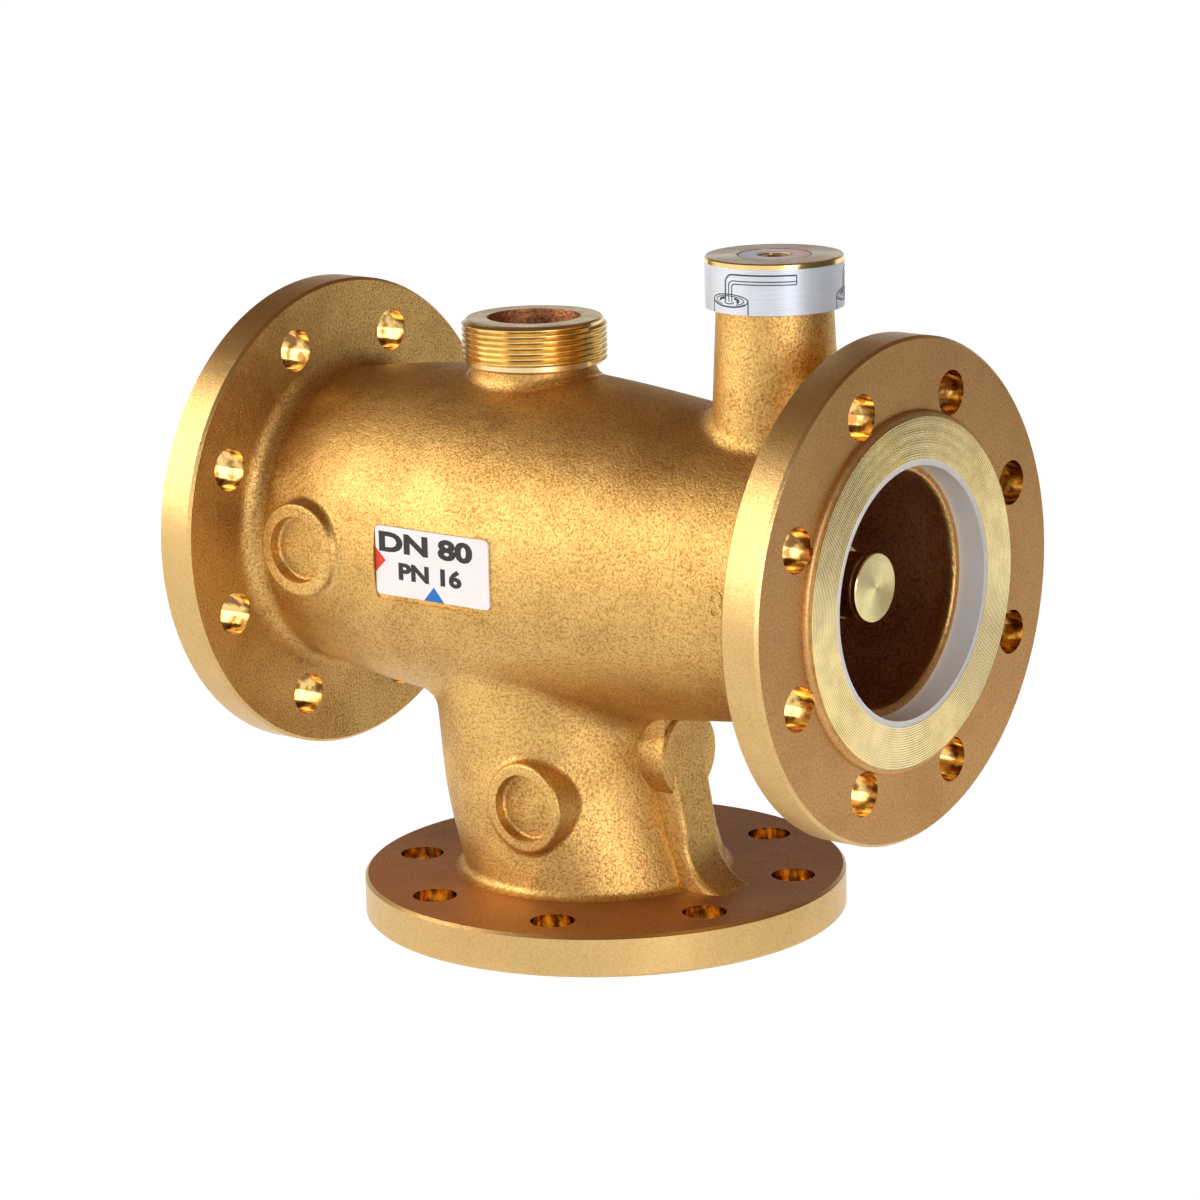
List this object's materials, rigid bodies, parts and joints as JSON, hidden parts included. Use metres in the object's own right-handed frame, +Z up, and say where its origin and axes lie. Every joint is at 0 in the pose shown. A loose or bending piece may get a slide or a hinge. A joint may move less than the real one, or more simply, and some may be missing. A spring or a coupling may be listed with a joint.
{
  "type": "mixing valve",
  "caption": "Flanged mixing valve in cast bronze: a wax element slides a sleeve between hot and cold seats, and a spindle with pinion and rack sets the temperature.",
  "frame": {"origin": "centre of the bottom flange's raised face", "axes": "+X along the barrel towards the outlet, +Z up the branch, away from the cold inlet; -Y is the front with the label"},
  "size_m": [0.31, 0.2, 0.2827],
  "materials": {
    "cast_bronze": "sand cast, flange faces and rims turned",
    "turned_brass": "turned",
    "stainless": "brushed",
    "spring_steel": "drawn",
    "grey_plastic": "moulded",
    "label_film": "printed film",
    "black_rubber": "moulded"
  },
  "bodies": {
    "housing": {"valve_body": "cast_bronze", "outlet_ring": "grey_plastic", "front_label": "label_film", "spindle_housing": "turned_brass", "scale_band": "label_film", "cover_disc": "turned_brass", "dial_label": "label_film", "housing_gasket": "black_rubber", "hot_cage": "cast_bronze", "hot_seat_washer": "black_rubber", "cage_circlip": "spring_steel", "cage_o_ring": "black_rubber", "slide_o_ring": "black_rubber", "return_spring": "spring_steel", "cold_seat_ring": "turned_brass", "cold_seat_washer": "black_rubber", "cold_seat_o_ring": "black_rubber", "guide_bridge": "cast_bronze", "guide_bush": "grey_plastic", "bridge_ring": "spring_steel"},
    "slide": {"slide_spool": "stainless", "wax_element": "turned_brass", "element_nut": "turned_brass", "spring_seat": "stainless"},
    "spindle": {"adjusting_spindle": "turned_brass", "spindle_o_ring_lower": "black_rubber", "spindle_o_ring_upper": "black_rubber", "spindle_circlip": "spring_steel"},
    "carrier": {"carrier_tube": "turned_brass", "carrier_lock_nut": "turned_brass", "carrier_ring": "turned_brass", "carrier_cap": "turned_brass", "overtravel_spring": "spring_steel"},
    "plunger": {"overtravel_plunger": "turned_brass", "element_piston": "stainless"}
  },
  "joints": [
    {"name": "adjust_turn", "type": "hinge", "parent": "housing", "child": "spindle", "pos_m": [0.0902, 0, 0.27], "axis": [0, 0, 1], "range_deg": [-60, 60]},
    {"name": "carrier_slide", "type": "slide", "parent": "housing", "child": "carrier", "axis": [1, 0, 0], "range_m": [-0.00628, 0.00628]},
    {"name": "slide_travel", "type": "slide", "parent": "housing", "child": "slide", "axis": [1, 0, 0], "range_m": [-0.0057, 0.0057], "stiffness_N_per_m": 1500, "deforming": ["return_spring"]},
    {"name": "overtravel", "type": "slide", "parent": "carrier", "child": "plunger", "axis": [1, 0, 0], "range_m": [0, 0.005], "stiffness_N_per_m": 8000, "springref_m": -0.001, "deforming": ["overtravel_spring"]}
  ],
  "couplings": [
    {"joint": "adjust_turn", "follows": "carrier_slide", "rad_per_m": -166.67}
  ]
}
